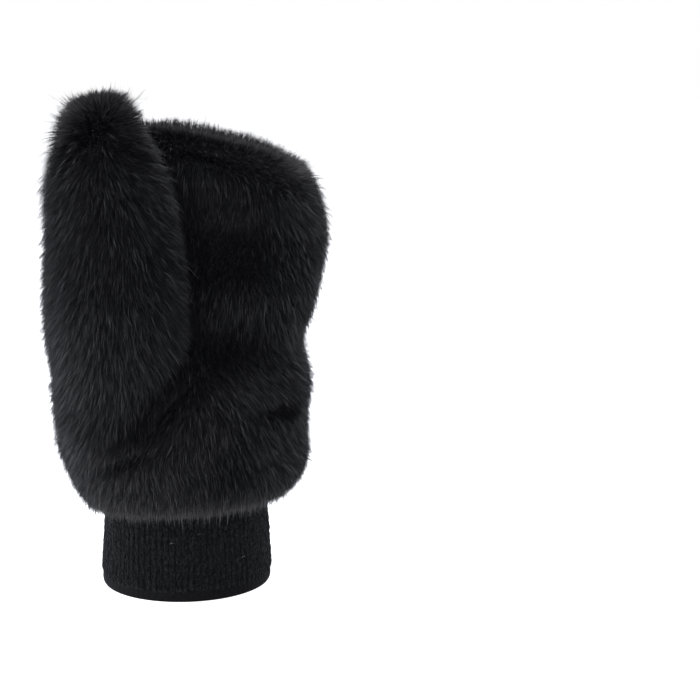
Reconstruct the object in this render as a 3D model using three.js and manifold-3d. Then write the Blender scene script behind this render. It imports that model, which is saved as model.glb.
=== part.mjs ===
// Faux fur glove without fingers, for the left hand, upright as it is worn.
// Millimetres. The origin is the middle of the wrist opening at the cuff's lower edge.
// +Z runs towards the fingers, -Y is the palm side, -X is the thumb side.
//
// The glove is a sleeve of backing cloth with deep pile, a thumb tube of the same fabric that
// stands in front of the palm, and a rib-knitted cuff. Every piece is a hollow tube, lofted
// through rings that a table of sections gives.

import * as THREE from "three";
import Module from "manifold-3d";

const wasm = await Module();
wasm.setup();

// Driving dimensions
const GAP = 0.4; // kept between neighbouring pieces
const CLOTH = 1.8; // wall of the backing cloth
const SLEEVE_FOOT = 36; // lower edge of the hand's cloth
const SLEEVE_TOP = 155; // finger opening of the hand's cloth
const RIM_RISE = 11; // how far the pile stands above the finger opening
const RIM_DROP = 12; // how much lower the finger opening is at the little finger
const RIM_LIFT = 5; // how much higher it is beside the thumb
const HEM_Z = 33; // foot of the hand's pile before its tips
const HEM_LIFT = 3; // how much higher the hem is on the palm side, and a little more at +X
const THUMB_TOP = 168; // mouth of the thumb's cloth
const THUMB_RISE = 13; // how far the pile stands above the thumb's mouth
const THUMB_FOOT = 64; // end of the thumb's cloth inside the palm
const LOBE_FOOT = 52; // where the thumb's pile runs out on the heel of the hand
const LOBE_ROOM = 1.4; // extra room for the locks that hang over at that end
const CUFF_WIDTH = 63;
const CUFF_DEPTH = 60;
const CUFF_HEIGHT = 46; // its top third is sewn in under the fur
const CUFF_WALL = 2.6;
const CUFF_TAPER = 2.8; // how much nearer the wrist its upper edge is
const RIB_COUNT = 84;
const RIB_HEIGHT = 0.8;
const HEM_BAND = 3.6; // plain folded edge below the ribs

// Outline of the hand over its fur. left, right, front and back are where the section ends;
// square is 2 for an ellipse and more for a fuller section.
const HAND_OUTLINE = [
  { z: 31, left: -35.0, right: 35.0, front: -37, back: 35, square: 2.0 },
  { z: 37, left: -40.0, right: 43.5, front: -41.5, back: 39.5, square: 2.1 },
  { z: 46, left: -43.0, right: 46.0, front: -43, back: 41, square: 2.2 },
  { z: 56, left: -46.0, right: 45.3, front: -43, back: 40, square: 2.2 },
  { z: 65, left: -44.0, right: 45.8, front: -41.5, back: 38, square: 2.2 },
  { z: 76, left: -45.5, right: 46.8, front: -39.5, back: 36, square: 2.2 },
  { z: 91, left: -44.0, right: 44.0, front: -36.5, back: 34.5, square: 2.2 },
  { z: 104, left: -43.0, right: 48.2, front: -33.5, back: 33.5, square: 2.3 },
  { z: 130, left: -42.0, right: 52.8, front: -31, back: 32, square: 2.3 },
  { z: 144, left: -41.5, right: 52.3, front: -29.5, back: 30.5, square: 2.3 },
  { z: 156, left: -40.0, right: 51.0, front: -27.5, back: 28, square: 2.3 },
  { z: 162, left: -37.0, right: 48.0, front: -24.5, back: 25, square: 2.2 },
];

// Outer face of the hand's cloth
const HAND_CLOTH = [
  { z: 34, left: -31.8, right: 31.8, front: -30.6, back: 30.6, square: 2.0 },
  { z: 42, left: -32.0, right: 32.2, front: -30.8, back: 30.6, square: 2.0 },
  { z: 50, left: -33.0, right: 33.5, front: -30, back: 29.5, square: 2.0 },
  { z: 64, left: -33.0, right: 34.5, front: -27, back: 27, square: 2.1 },
  { z: 84, left: -32.5, right: 34.5, front: -23.5, back: 24, square: 2.2 },
  { z: 104, left: -31.5, right: 37, front: -20, back: 22, square: 2.3 },
  { z: 129, left: -31.0, right: 41, front: -18, back: 20, square: 2.3 },
  { z: 156, left: -30.0, right: 39.5, front: -15.5, back: 17, square: 2.3 },
];

// Outline of the thumb over its fur. It ends as a round lobe on the palm.
const THUMB_OUTLINE = [
  { z: 48, left: -33.0, right: -22, front: -23, back: -8, square: 2.0 },
  { z: 56, left: -39.5, right: -16, front: -35.5, back: 0, square: 2.0 },
  { z: 65, left: -43.0, right: -8.5, front: -43, back: 5, square: 2.0 },
  { z: 74, left: -43.6, right: -1, front: -46.5, back: 5, square: 2.0 },
  { z: 84, left: -43.2, right: 4, front: -50, back: 0, square: 2.0 },
  { z: 96, left: -43.6, right: 5.7, front: -54, back: -9, square: 2.0 },
  { z: 111, left: -43.2, right: 5.6, front: -57.5, back: -18, square: 2.0 },
  { z: 131, left: -41.8, right: 4.3, front: -58.5, back: -21, square: 2.0 },
  { z: 150, left: -41.0, right: 0.5, front: -57.5, back: -21.3, square: 2.1 },
  { z: 162, left: -39.0, right: -4, front: -55, back: -21.5, square: 2.1 },
  { z: 172, left: -36.0, right: -9.5, front: -50, back: -23, square: 2.1 },
  { z: 180, left: -31.0, right: -14, front: -44, back: -27, square: 2.0 },
];

// Outer face of the thumb's cloth
const THUMB_CLOTH = [
  { z: 62, left: -31.0, right: -9, front: -21, back: 4, square: 2.0 },
  { z: 72, left: -31.8, right: -6.5, front: -31.5, back: 1, square: 2.0 },
  { z: 84, left: -32.4, right: -5.2, front: -40, back: -6, square: 2.0 },
  { z: 98, left: -32.8, right: -4.8, front: -44.8, back: -15.5, square: 2.0 },
  { z: 111, left: -32.2, right: -5.2, front: -47.3, back: -22.5, square: 2.0 },
  { z: 131, left: -31.1, right: -6.1, front: -48, back: -24.5, square: 2.0 },
  { z: 152, left: -31.5, right: -9.5, front: -47, back: -24.8, square: 2.0 },
  { z: 168, left: -33.0, right: -11.5, front: -45.5, back: -25.3, square: 2.0 },
];

// Dents and folds of the palm's fur. Each is a soft oval of the given spread along its length
// and across it, turned by its angle from level; depth is inwards, and a fold's is negative.
const PALM_FOLDS = [
  { name: "palm hollow", x: 15, z: 136, along: 18, across: 14, turn: 0, depth: 7.5 },
  { name: "lower hollow", x: 20, z: 98, along: 15, across: 8, turn: 8, depth: 2.6 },
  { name: "band under the rim", x: 20, z: 157, along: 22, across: 3.5, turn: 0, depth: 2 },
  { name: "fold under the band", x: 10, z: 153, along: 10, across: 3, turn: 0, depth: -2.5 },
  { name: "finger side lobe", x: 35, z: 150, along: 12, across: 9, turn: 0, depth: -2.2 },
  { name: "middle fold", x: 23, z: 114, along: 15, across: 7, turn: 5, depth: -2.4 },
  { name: "ball of the thumb", x: 4, z: 71, along: 20, across: 13, turn: 50, depth: -5.5 },
  { name: "heel crease", x: -2, z: 74, along: 16, across: 3.4, turn: 50, depth: 1.8 },
  { name: "thumb's heel", x: -22, z: 60, along: 16, across: 10, turn: 0, depth: -3 },
  { name: "low crease", x: -17, z: 57, along: 12, across: 3.2, turn: 23, depth: 2.6 },
  { name: "side dent", x: 37, z: 72, along: 9, across: 4, turn: -15, depth: 5.5 },
];

// Piles: columns round the tube (two to a lock), root lines from top to bottom, and how far
// a lock stands out at its belly and hangs over the next line, as a share of the line's height
const HAND_PILE = { columns: 56, rows: 9, root: 3.2, crown: 0.8, valley: 1.6, hang: 0.34 };
const THUMB_PILE = { columns: 30, rows: 8, root: 2.8, crown: 0.7, valley: 1.5, hang: 0.34 };
const RIM_TUFT = 2.6; // how much the rim's tufts stand above their valleys
const LOCK_JITTER = 0.9;
const PRESSED_RELIEF = 0.6; // share of the relief lost where the thumb lies against the palm

// Reads every column of a table of sections at one height, on a smooth curve through the rows.
function sectionAt(table, z) {
  const last = table.length - 1;
  let i = 0;
  while (i < last - 1 && z > table[i + 1].z) i += 1;
  const [a, b] = [table[i], table[i + 1]];
  const span = b.z - a.z;
  const t = THREE.MathUtils.clamp((z - a.z) / span, -0.5, 1.5);
  const section = {};
  for (const key of Object.keys(a)) {
    const before = table[Math.max(i - 1, 0)];
    const after = table[Math.min(i + 2, last)];
    const slopeA = ((b[key] - before[key]) / (b.z - before.z)) * span;
    const slopeB = ((after[key] - a[key]) / (after.z - a.z)) * span;
    section[key] =
      a[key] * (1 + 2 * t) * (1 - t) ** 2 +
      slopeA * t * (1 - t) ** 2 +
      b[key] * t * t * (3 - 2 * t) +
      slopeB * t * t * (t - 1);
  }
  return section;
}

// A point of a section's outline. The angle starts at +X and turns over the back of the hand.
function outlinePoint(section, angle, grow) {
  const [c, s] = [Math.cos(angle), Math.sin(angle)];
  const power = 2 / section.square;
  const middleX = (section.left + section.right) / 2;
  const middleY = (section.front + section.back) / 2;
  const halfWidth = (section.right - section.left) / 2 + grow;
  const halfDepth = (section.back - section.front) / 2 + grow;
  const x = middleX + halfWidth * Math.sign(c) * Math.abs(c) ** power;
  const y = middleY + halfDepth * Math.sign(s) * Math.abs(s) ** power;
  return new THREE.Vector3(x, y, 0);
}

// The finger opening slopes down towards the little finger, and the hem is a little askew.
function slopeEnds(point) {
  const tilt =
    RIM_LIFT * (1 - THREE.MathUtils.smoothstep(point.x, -5, 26)) -
    RIM_DROP * THREE.MathUtils.smoothstep(point.x, 20, 54);
  const up = THREE.MathUtils.smoothstep(point.z, 98, 164);
  const down = 1 - THREE.MathUtils.smoothstep(point.z, HEM_Z, 66);
  const askew = (0.8 * point.x - point.y) / (0.5 * CUFF_WIDTH + 10);
  point.z += HEM_LIFT * askew * down + tilt * up;
  return point;
}

function foldDepth(x, z) {
  let depth = 0;
  for (const fold of PALM_FOLDS) {
    const turn = THREE.MathUtils.degToRad(fold.turn);
    const [dx, dz] = [x - fold.x, z - fold.z];
    const along = (dx * Math.cos(turn) + dz * Math.sin(turn)) / fold.along;
    const across = (dz * Math.cos(turn) - dx * Math.sin(turn)) / fold.across;
    depth += fold.depth * Math.exp(-along * along - across * across);
  }
  return depth;
}

function handCloth(angle, z, grow) {
  const point = outlinePoint(sectionAt(HAND_CLOTH, z), angle, grow);
  point.z = z;
  return slopeEnds(point);
}

function handFur(angle, z, grow) {
  const point = outlinePoint(sectionAt(HAND_OUTLINE, z), angle, grow);
  const palmSide = THREE.MathUtils.smoothstep(-Math.sin(angle), 0.1, 0.6);
  point.y += palmSide * foldDepth(point.x, z);
  point.z = z;
  return slopeEnds(point);
}

function thumbCloth(angle, z, grow) {
  const point = outlinePoint(sectionAt(THUMB_CLOTH, z), angle, grow);
  point.z = z;
  return point;
}

// The thumb's pile is pressed thin where it lies against the palm, and its relief with it.
function thumbFur(angle, z, grow) {
  const pressed = THREE.MathUtils.smoothstep(Math.sin(angle), 0.2, 0.9);
  const relief = 1 - PRESSED_RELIEF * pressed;
  const point = outlinePoint(sectionAt(THUMB_OUTLINE, z), angle, grow * relief);
  point.z = z;
  return point;
}

// The room that the thumb's pile takes out of the hand's, roomier where its locks run out.
function thumbRoom(angle, z, grow) {
  const low = 1 - THREE.MathUtils.smoothstep(z, LOBE_FOOT, THUMB_FOOT + 6);
  const point = outlinePoint(sectionAt(THUMB_OUTLINE, z), angle, grow + LOBE_ROOM * low);
  point.z = z;
  return point;
}

function ring(surface, columns, z, grow) {
  const points = [];
  for (let i = 0; i < columns; i += 1) {
    points.push(surface((2 * Math.PI * i) / columns, z, grow));
  }
  return points;
}

function rings(surface, columns, from, to, steps, grow) {
  const result = [];
  for (let i = 0; i <= steps; i += 1) {
    result.push(ring(surface, columns, from + ((to - from) * i) / steps, grow));
  }
  return result;
}

function signedVolume(points, faces) {
  let volume = 0;
  const cross = new THREE.Vector3();
  for (const [a, b, c] of faces) {
    volume += points[a].dot(cross.crossVectors(points[b], points[c])) / 6;
  }
  return volume;
}

// A closed body through rings. A tube's wall runs round from its last ring to its first;
// a plug is closed by a fan of faces over its first and its last ring.
function loft(ringList, isPlug) {
  const columns = ringList[0].length;
  const points = ringList.flat();
  const faces = [];
  const turns = isPlug ? ringList.length - 1 : ringList.length;
  for (let r = 0; r < turns; r += 1) {
    const [low, high] = [r * columns, ((r + 1) % ringList.length) * columns];
    for (let i = 0; i < columns; i += 1) {
      const j = (i + 1) % columns;
      faces.push([low + i, low + j, high + j], [low + i, high + j, high + i]);
    }
  }
  if (isPlug) {
    for (const r of [0, ringList.length - 1]) {
      const middle = new THREE.Vector3();
      for (const point of ringList[r]) middle.addScaledVector(point, 1 / columns);
      points.push(middle);
      for (let i = 0; i < columns; i += 1) {
        const pair = [r * columns + i, r * columns + ((i + 1) % columns)];
        if (r === 0) pair.reverse();
        faces.push([...pair, points.length - 1]);
      }
    }
  }
  if (signedVolume(points, faces) < 0) faces.forEach((face) => face.reverse());
  const mesh = new wasm.Mesh({
    numProp: 3,
    vertProperties: new Float32Array(points.flatMap((p) => p.toArray())),
    triVerts: new Uint32Array(faces.flat()),
  });
  return new wasm.Manifold(mesh);
}

// The wall between an outer and an inner surface of cloth.
function clothTube(surface, columns, foot, top, steps) {
  const outer = rings(surface, columns, foot, top, steps, 0);
  const inner = rings(surface, columns, top, foot, steps, -CLOTH);
  return loft([...outer, ...inner], false);
}

// A number between -1 and 1 that is always the same for the same lock.
function jitter(row, column) {
  const value = Math.sin(row * 12.9898 + column * 78.233) * 43758.5453;
  return 2 * (value - Math.floor(value)) - 1;
}

// Rings of hanging locks from the top line to the foot. Each line has a root ring set deep,
// a belly ring and a ragged ring of tips that hangs over the root of the line below.
function lockRings(surface, pile, top, foot) {
  const { columns, rows, root, crown, valley, hang } = pile;
  const height = (top - foot) / rows;
  const result = [];
  for (let row = 0; row < rows; row += 1) {
    const z = top - row * height;
    const [roots, bellies, tips] = [[], [], []];
    for (let i = 0; i < columns; i += 1) {
      const angle = (2 * Math.PI * i) / columns;
      const isLock = (i + row) % 2 === 0;
      const wild = LOCK_JITTER * jitter(row, i);
      const bellyOut = isLock ? crown + 0.4 * wild : -0.5 * valley;
      const tipOut = isLock ? 0.4 * crown + 0.3 * wild : -valley;
      const tipDrop = isLock ? height * (1 + hang) + wild : height * 0.93;
      roots.push(surface(angle, z, -root));
      bellies.push(surface(angle, z - 0.48 * height, bellyOut));
      tips.push(surface(angle, z - tipDrop, tipOut));
    }
    result.push(roots, bellies, tips);
  }
  return result;
}

// The tufts that stand up round an opening, between the pile's face and the cloth's edge.
function tuftRing(outer, inner, columns, z, share) {
  const points = [];
  for (let i = 0; i < columns; i += 1) {
    const angle = (2 * Math.PI * i) / columns;
    const tuft = i % 2 === 0 ? RIM_TUFT + 0.5 * jitter(7, i) : 0;
    const point = outer(angle, z, 0).lerp(inner(angle, z, 0), share);
    point.z += tuft;
    points.push(point);
  }
  return points;
}

// Pile on a cloth tube: over the rim, down in locks to the foot, and up along the cloth.
function pileTube(fur, cloth, pile, size) {
  const { columns } = pile;
  const { clothTop, clothFoot, clothSteps, rise, tuftShare, lockTop, lockFoot } = size;
  const shell = [
    ring(cloth, columns, clothTop + 1, GAP - CLOTH),
    ring(cloth, columns, clothTop + 0.5 * rise, -0.2 * CLOTH),
    tuftRing(fur, cloth, columns, clothTop + rise - RIM_TUFT, tuftShare),
    ...lockRings(fur, pile, lockTop, lockFoot).slice(1),
  ];
  const back = rings(cloth, columns, clothFoot, clothTop, clothSteps, GAP);
  const lip = ring(cloth, columns, clothTop + GAP, GAP);
  return loft([...shell, ...back, lip], false);
}

// A solid that fills a surface, grown a little, to cut what it meets.
function plug(surface, columns, foot, top, steps, grow) {
  return loft(rings(surface, columns, foot, top, steps, grow), true);
}

function largestBody(solid) {
  const bodies = solid.decompose();
  bodies.sort((a, b) => b.volume() - a.volume());
  return bodies[0];
}

// Ribs run the whole height above the plain folded edge, and the knit draws in a little
// towards its top, where it is sewn under the fur.
function ribCuff() {
  const columns = 2 * RIB_COUNT;
  const outside = [
    { z: 0, grow: -1.3, rib: 0 },
    { z: 0.9, grow: -0.3, rib: 0 },
    { z: HEM_BAND, grow: -0.2, rib: 0 },
    { z: HEM_BAND + 0.8, grow: 0, rib: 1 },
    { z: CUFF_HEIGHT, grow: -CUFF_TAPER, rib: 1 },
  ];
  const inside = [
    { z: CUFF_HEIGHT, grow: -CUFF_WALL - CUFF_TAPER, rib: 0 },
    { z: 0, grow: -CUFF_WALL, rib: 0 },
  ];
  const ringList = [...outside, ...inside].map(({ z, grow, rib }) => {
    const points = [];
    for (let i = 0; i < columns; i += 1) {
      const angle = (2 * Math.PI * i) / columns;
      const out = grow - (i % 2 === 0 ? 0 : rib * RIB_HEIGHT);
      const x = (CUFF_WIDTH / 2 + out) * Math.cos(angle);
      const y = (CUFF_DEPTH / 2 + out) * Math.sin(angle);
      points.push(new THREE.Vector3(x, y, z));
    }
    return points;
  });
  return loft(ringList, false);
}

// Columns and steps of the cloth. The pile's own columns are finer, and its steps the same.
const HAND_COLUMNS = 36;
const HAND_STEPS = 7;
const THUMB_COLUMNS = 22;
const THUMB_STEPS = 7;

function buildSolids() {
  const handTop = SLEEVE_TOP;
  const thumbHole = plug(thumbCloth, THUMB_COLUMNS, THUMB_FOOT, THUMB_TOP + 20, 8, -CLOTH);
  const sleeveSpace = plug(handCloth, HAND_COLUMNS, SLEEVE_FOOT, handTop, HAND_STEPS, GAP);
  const thumbLift = THUMB_PILE.crown + 0.5 * LOCK_JITTER + GAP;
  const thumbSpace = plug(
    thumbRoom, THUMB_PILE.columns, LOBE_FOOT - 6, THUMB_TOP + THUMB_RISE, 24, thumbLift,
  );

  const handClothTube = clothTube(handCloth, HAND_COLUMNS, SLEEVE_FOOT, handTop, HAND_STEPS);
  const thumbClothTube = clothTube(
    thumbCloth, THUMB_COLUMNS, THUMB_FOOT, THUMB_TOP, THUMB_STEPS,
  );
  const handPile = pileTube(handFur, handCloth, HAND_PILE, {
    clothTop: handTop,
    clothFoot: SLEEVE_FOOT,
    clothSteps: HAND_STEPS,
    rise: RIM_RISE,
    tuftShare: 0.45,
    lockTop: handTop + 0.6 * RIM_RISE,
    lockFoot: HEM_Z,
  });
  const thumbPile = pileTube(thumbFur, thumbCloth, THUMB_PILE, {
    clothTop: THUMB_TOP,
    clothFoot: THUMB_FOOT,
    clothSteps: THUMB_STEPS,
    rise: THUMB_RISE,
    tuftShare: 0.6,
    lockTop: THUMB_TOP + 0.7 * THUMB_RISE,
    lockFoot: LOBE_FOOT,
  });
  return {
    hand_backing: handClothTube.subtract(thumbHole),
    hand_fur: handPile.subtract(thumbSpace),
    thumb_backing: thumbClothTube.subtract(sleeveSpace),
    thumb_fur: thumbPile.subtract(sleeveSpace),
    rib_cuff: ribCuff(),
  };
}

function toGeometry(solid) {
  const { vertProperties, triVerts } = solid.getMesh();
  const geometry = new THREE.BufferGeometry();
  geometry.setAttribute("position", new THREE.BufferAttribute(vertProperties, 3));
  geometry.setIndex(new THREE.BufferAttribute(triVerts, 1));
  geometry.computeVertexNormals();
  return geometry;
}

const LOOKS = {
  hand_backing: { color: 0x161413, roughness: 0.95 },
  hand_fur: { color: 0x0d0c0b, roughness: 0.75 },
  thumb_backing: { color: 0x161413, roughness: 0.95 },
  thumb_fur: { color: 0x0d0c0b, roughness: 0.75 },
  rib_cuff: { color: 0x0b0d0d, roughness: 0.92 },
};

const glove = new THREE.Group();
for (const [name, solid] of Object.entries(buildSolids())) {
  const { color, roughness } = LOOKS[name];
  const material = new THREE.MeshStandardMaterial({ color, roughness, metalness: 0 });
  const mesh = new THREE.Mesh(toGeometry(largestBody(solid)), material);
  mesh.name = name;
  glove.add(mesh);
}

export default glove;
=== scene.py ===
import math

import bpy
import numpy as np
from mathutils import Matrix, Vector


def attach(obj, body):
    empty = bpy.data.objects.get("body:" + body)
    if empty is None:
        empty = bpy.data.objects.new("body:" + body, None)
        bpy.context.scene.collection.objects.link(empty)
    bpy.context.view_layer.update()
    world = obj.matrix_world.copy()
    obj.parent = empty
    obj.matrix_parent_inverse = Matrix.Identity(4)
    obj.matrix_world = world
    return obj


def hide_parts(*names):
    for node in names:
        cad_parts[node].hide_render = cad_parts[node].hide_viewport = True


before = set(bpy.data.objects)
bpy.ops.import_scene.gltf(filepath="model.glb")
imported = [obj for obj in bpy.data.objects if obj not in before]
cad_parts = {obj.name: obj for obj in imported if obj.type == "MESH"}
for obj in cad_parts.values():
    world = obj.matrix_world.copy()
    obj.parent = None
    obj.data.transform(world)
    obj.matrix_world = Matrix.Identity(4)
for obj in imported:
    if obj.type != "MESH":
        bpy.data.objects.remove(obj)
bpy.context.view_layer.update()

# The looks of a faux fur glove without fingers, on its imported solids. The shapes below are in
# millimetres and are scaled to metres where a mesh is made. The sections repeat the solids'.
# +Z runs towards the fingers, -Y is the palm side and -X is the thumb side.
MM = 0.001
CLOTH = 1.8
SLEEVE_FOOT = 36.0
SLEEVE_TOP = 155.0
RIM_LIFT = 5.0
RIM_LIFT_X = (-5, 26)  # the rim is lifted on the thumb's side of this range
RIM_DROP = 12.0
RIM_DROP_X = (20, 54)  # the rim drops over this range, towards the little finger
RIM_SLOPE_Z = (98, 164)  # the sleeve takes up the rim's slope over these heights
HEM_LIFT = 3.0
HEM_SLOPE_Z = (33.0, 66)  # the hem's slope fades out over these heights
THUMB_FOOT = 64.0
THUMB_TOP = 168.0
THUMB_MOUTH_X = -21  # the middle of the thumb's mouth
THUMB_MOUTH_HALF = 9
THUMB_DROP = 3.0  # how much lower the mouth is at its sides, and below it in its middle
THUMB_DROP_MIDDLE = 0.3
THUMB_DROP_Z = (150, 172)
CUFF_WIDTH = 63.0
CUFF_DEPTH = 60.0
CUFF_HEIGHT = 46.0
CUFF_WALL = 2.6
CUFF_TAPER = 2.8
CUFF_WAVE = 0.35
RIB_COUNT = 84
HEM_BAND = 3.6
STITCH_HEIGHT = 1.85
SEED = 20
EVEN_STEPS = (0.7548776662, 0.5698402910)  # steps of an even scatter of points over a square

# The camera stands where the photograph was taken from, with its frame of 700 x 700 pixels.
PHOTO_SIDE_PX = 700
FOCAL_PX = 1672
SENSOR_MM = 36.0
CAMERA_PLACE = (0.0611, -0.600, 0.2035)
CAMERA_AIM = (0.0611, 0.0, 0.0865)

# Sections: height, left, right, front, back, squareness
HAND_OUTLINE = np.array([
    (31, -35.0, 35.0, -37, 35, 2.0),
    (37, -40.0, 43.5, -41.5, 39.5, 2.1),
    (46, -43.0, 46.0, -43, 41, 2.2),
    (56, -46.0, 45.3, -43, 40, 2.2),
    (65, -44.0, 45.8, -41.5, 38, 2.2),
    (76, -45.5, 46.8, -39.5, 36, 2.2),
    (91, -44.0, 44.0, -36.5, 34.5, 2.2),
    (104, -43.0, 48.2, -33.5, 33.5, 2.3),
    (130, -42.0, 52.8, -31, 32, 2.3),
    (144, -41.5, 52.3, -29.5, 30.5, 2.3),
    (156, -40.0, 51.0, -27.5, 28, 2.3),
    (162, -37.0, 48.0, -24.5, 25, 2.2),
])
HAND_CLOTH = np.array([
    (34, -31.8, 31.8, -30.6, 30.6, 2.0),
    (42, -32.0, 32.2, -30.8, 30.6, 2.0),
    (50, -33.0, 33.5, -30, 29.5, 2.0),
    (64, -33.0, 34.5, -27, 27, 2.1),
    (84, -32.5, 34.5, -23.5, 24, 2.2),
    (104, -31.5, 37.0, -20, 22, 2.3),
    (129, -31.0, 41.0, -18, 20, 2.3),
    (156, -30.0, 39.5, -15.5, 17, 2.3),
])
THUMB_OUTLINE = np.array([
    (48, -33.0, -22.0, -23, -8, 2.0),
    (56, -39.5, -16.0, -35.5, 0, 2.0),
    (65, -43.0, -8.5, -43, 5, 2.0),
    (74, -43.6, -1.0, -46.5, 5, 2.0),
    (84, -43.2, 4.0, -50, 0, 2.0),
    (96, -43.6, 5.7, -54, -9, 2.0),
    (111, -43.2, 5.6, -57.5, -18, 2.0),
    (131, -41.8, 4.3, -58.5, -21, 2.0),
    (150, -41.0, 0.5, -57.5, -21.3, 2.1),
    (162, -39.0, -4.0, -55, -21.5, 2.1),
    (172, -36.0, -9.5, -50, -23, 2.1),
    (180, -31.0, -14.0, -44, -27, 2.0),
])
THUMB_CLOTH = np.array([
    (62, -31.0, -9.0, -21, 4, 2.0),
    (72, -31.8, -6.5, -31.5, 1, 2.0),
    (84, -32.4, -5.2, -40, -6, 2.0),
    (98, -32.8, -4.8, -44.8, -15.5, 2.0),
    (111, -32.2, -5.2, -47.3, -22.5, 2.0),
    (131, -31.1, -6.1, -48, -24.5, 2.0),
    (152, -31.5, -9.5, -47, -24.8, 2.0),
    (168, -33.0, -11.5, -45.5, -25.3, 2.0),
])

# Dents and folds of the palm's fur: x, z, spread along, spread across, turn in degrees, depth
PALM_FOLDS = [
    (15, 136, 18, 14, 0, 7.5),
    (20, 98, 15, 8, 8, 2.6),
    (20, 157, 22, 3.5, 0, 2.0),
    (10, 153, 10, 3.0, 0, -2.5),
    (35, 150, 12, 9, 0, -2.2),
    (23, 114, 15, 7, 5, -2.4),
    (4, 71, 20, 13, 50, -5.5),
    (-2, 74, 16, 3.4, 50, 1.8),
    (-22, 60, 16, 10, 0, -3.0),
    (-17, 57, 12, 3.2, 23, 2.6),
    (37, 72, 9, 4, -15, 5.5),
]

# The hide that the hairs stand on, from inside the opening over the rim, down the outside and
# in under the hem: height, share of the way from the cloth to the outline, how deep it lies
# under the outline, how much its hairs turn up (or down, if below 0), and how long they are
HAND_HIDE = np.array([
    (148, 0.00, 3.6, 0.8, 0.45),
    (154, 0.02, 3.6, 0.8, 0.50),
    (158.5, 0.14, 3.6, 0.7, 0.55),
    (160.8, 0.36, 3.6, 0.6, 0.60),
    (160.5, 0.62, 3.6, 0.45, 0.65),
    (157.5, 0.85, 3.6, 0.25, 0.75),
    (151.5, 0.97, 3.6, 0.10, 0.85),
    (144, 1.00, 3.6, 0.0, 1.00),
    (132, 1.00, 3.6, 0.0, 1.00),
    (118, 1.00, 3.6, 0.0, 1.00),
    (104, 1.00, 3.6, 0.0, 1.00),
    (90, 1.00, 3.6, 0.0, 1.00),
    (76, 1.00, 3.6, 0.0, 1.00),
    (64, 1.00, 3.6, 0.0, 1.00),
    (54, 1.00, 3.6, 0.0, 0.95),
    (46, 1.00, 3.6, -0.1, 0.85),
    (39.5, 0.93, 3.6, -0.3, 0.80),
    (36.0, 0.72, 3.6, -0.6, 0.85),
    (35.2, 0.42, 3.6, -0.8, 0.80),
    (36.5, 0.18, 3.6, -0.9, 0.60),
])
THUMB_HIDE = np.array([
    (160, 0.00, 3.4, 0.9, 0.50),
    (168.5, 0.03, 3.4, 0.9, 0.60),
    (176, 0.16, 3.4, 0.85, 0.65),
    (180, 0.36, 3.4, 0.82, 0.70),
    (180.3, 0.60, 3.4, 0.74, 0.74),
    (175.5, 0.88, 3.4, 0.56, 0.86),
    (167, 1.00, 3.4, 0.30, 1.00),
    (157, 1.00, 3.4, 0.12, 1.00),
    (145, 1.00, 3.4, 0.04, 1.00),
    (132, 1.00, 3.4, 0.0, 1.00),
    (118, 1.00, 3.4, 0.0, 1.00),
    (104, 1.00, 3.4, 0.0, 1.00),
    (92, 1.00, 3.4, 0.0, 1.00),
    (80, 1.00, 3.4, 0.0, 1.00),
    (69, 1.00, 3.4, 0.0, 1.00),
    (60, 1.00, 3.2, 0.0, 0.95),
    (54, 1.00, 3.0, 0.0, 0.90),
])

# Hair layers: hairs in a tuft, segments of a hair, how far out and how far along the fur it
# reaches, its width at the root, how wide a tuft spreads, how strongly its tips draw together,
# how much the lengths vary, how far a ribbon may turn on its axis (in radians), how light the
# hairs are and the share of them with a painted highlight (a lighter colour that stands for
# glints)
UNDERCOAT = dict(per_tuft=3, segments=1, out=3.9, along=3.3, width=0.24, spread=0.6,
                 pinch=0.10, vary=0.06, roll=0.6, tone=0.45, glint_share=0.0)
GUARD = dict(per_tuft=1, segments=2, out=4.5, along=4.0, width=0.10, spread=0.7,
             pinch=0.15, vary=0.14, roll=1.2, tone=0.32, glint_share=0.10)
STRAY = dict(per_tuft=3, segments=2, out=5.8, along=4.8, width=0.15, spread=0.35,
             pinch=0.65, vary=0.18, roll=1.2, tone=0.35, glint_share=0.05)
TUFT_LEAN = 0.10
TUFT_BEND = 0.20
HAIR_LEAN = 0.14
HAIR_BEND = 0.30
LOCK_HEIGHT = 0.13  # how much the hairs of a lock are longer, and how much more where they turn up
LOCK_HEIGHT_UP = 0.15
GATHER_UP = 0.35  # how much more the tips draw together where hairs turn up, and where they hang
GATHER_DOWN = 0.6
PAINTED_LIGHT_UP = 1.5  # painted light: how much lighter the hairs are coloured where they turn up, and where they hang
PAINTED_LIGHT_DOWN = 0.75
# How much wider the hairs with a painted highlight are, and how much lighter they are coloured
GLINT_WIDER = 0.8
GLINT_TONE = 0.46
TIP_HALF = 0.012

TUFTS = {
    "hand_undercoat": 86000,
    "hand_guard_hair": 93000,
    "hand_stray_hair": 4600,
    "thumb_undercoat": 49000,
    "thumb_guard_hair": 52500,
    "thumb_stray_hair": 2600,
}
MAX_HAIRS_PER_PIECE = {1: 180000, 2: 62000}  # by the number of segments of a hair

# Rings of the cuff's tube: height, how far out of the rib tops, depth of the ribs' relief.
# The plain folded edge starts inside, and the ribs begin where it ends.
CUFF_EDGE = [
    (2.4, -CUFF_WALL, 0.0),
    (0.8, -CUFF_WALL + 0.4, 0.0),
    (0.15, -1.9, 0.0),
    (0.0, -1.3, 0.0),
    (0.15, -0.75, 0.0),
    (0.8, -0.35, 0.1),
    (1.8, -0.25, 0.15),
    (2.8, -0.3, 0.15),
    (HEM_BAND, -0.55, 0.2),
]
GROUND_OUT = -0.60
GROUND_RELIEF = 0.6
INSIDE_RELIEF = -0.4
FUZZ_COUNT = 11000
FUZZ = dict(width=0.07, roll=1.2, glint_share=0.0, tone=0.5)
LINT = dict(width=0.13, roll=1.2, glint_share=0.0, tone=0.9)
LINT_PLACES = [(-94, 21.8), (-75, 24.8), (-43, 14.0), (-72, 7.2), (40, 18.0), (120, 11.0)]

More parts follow.
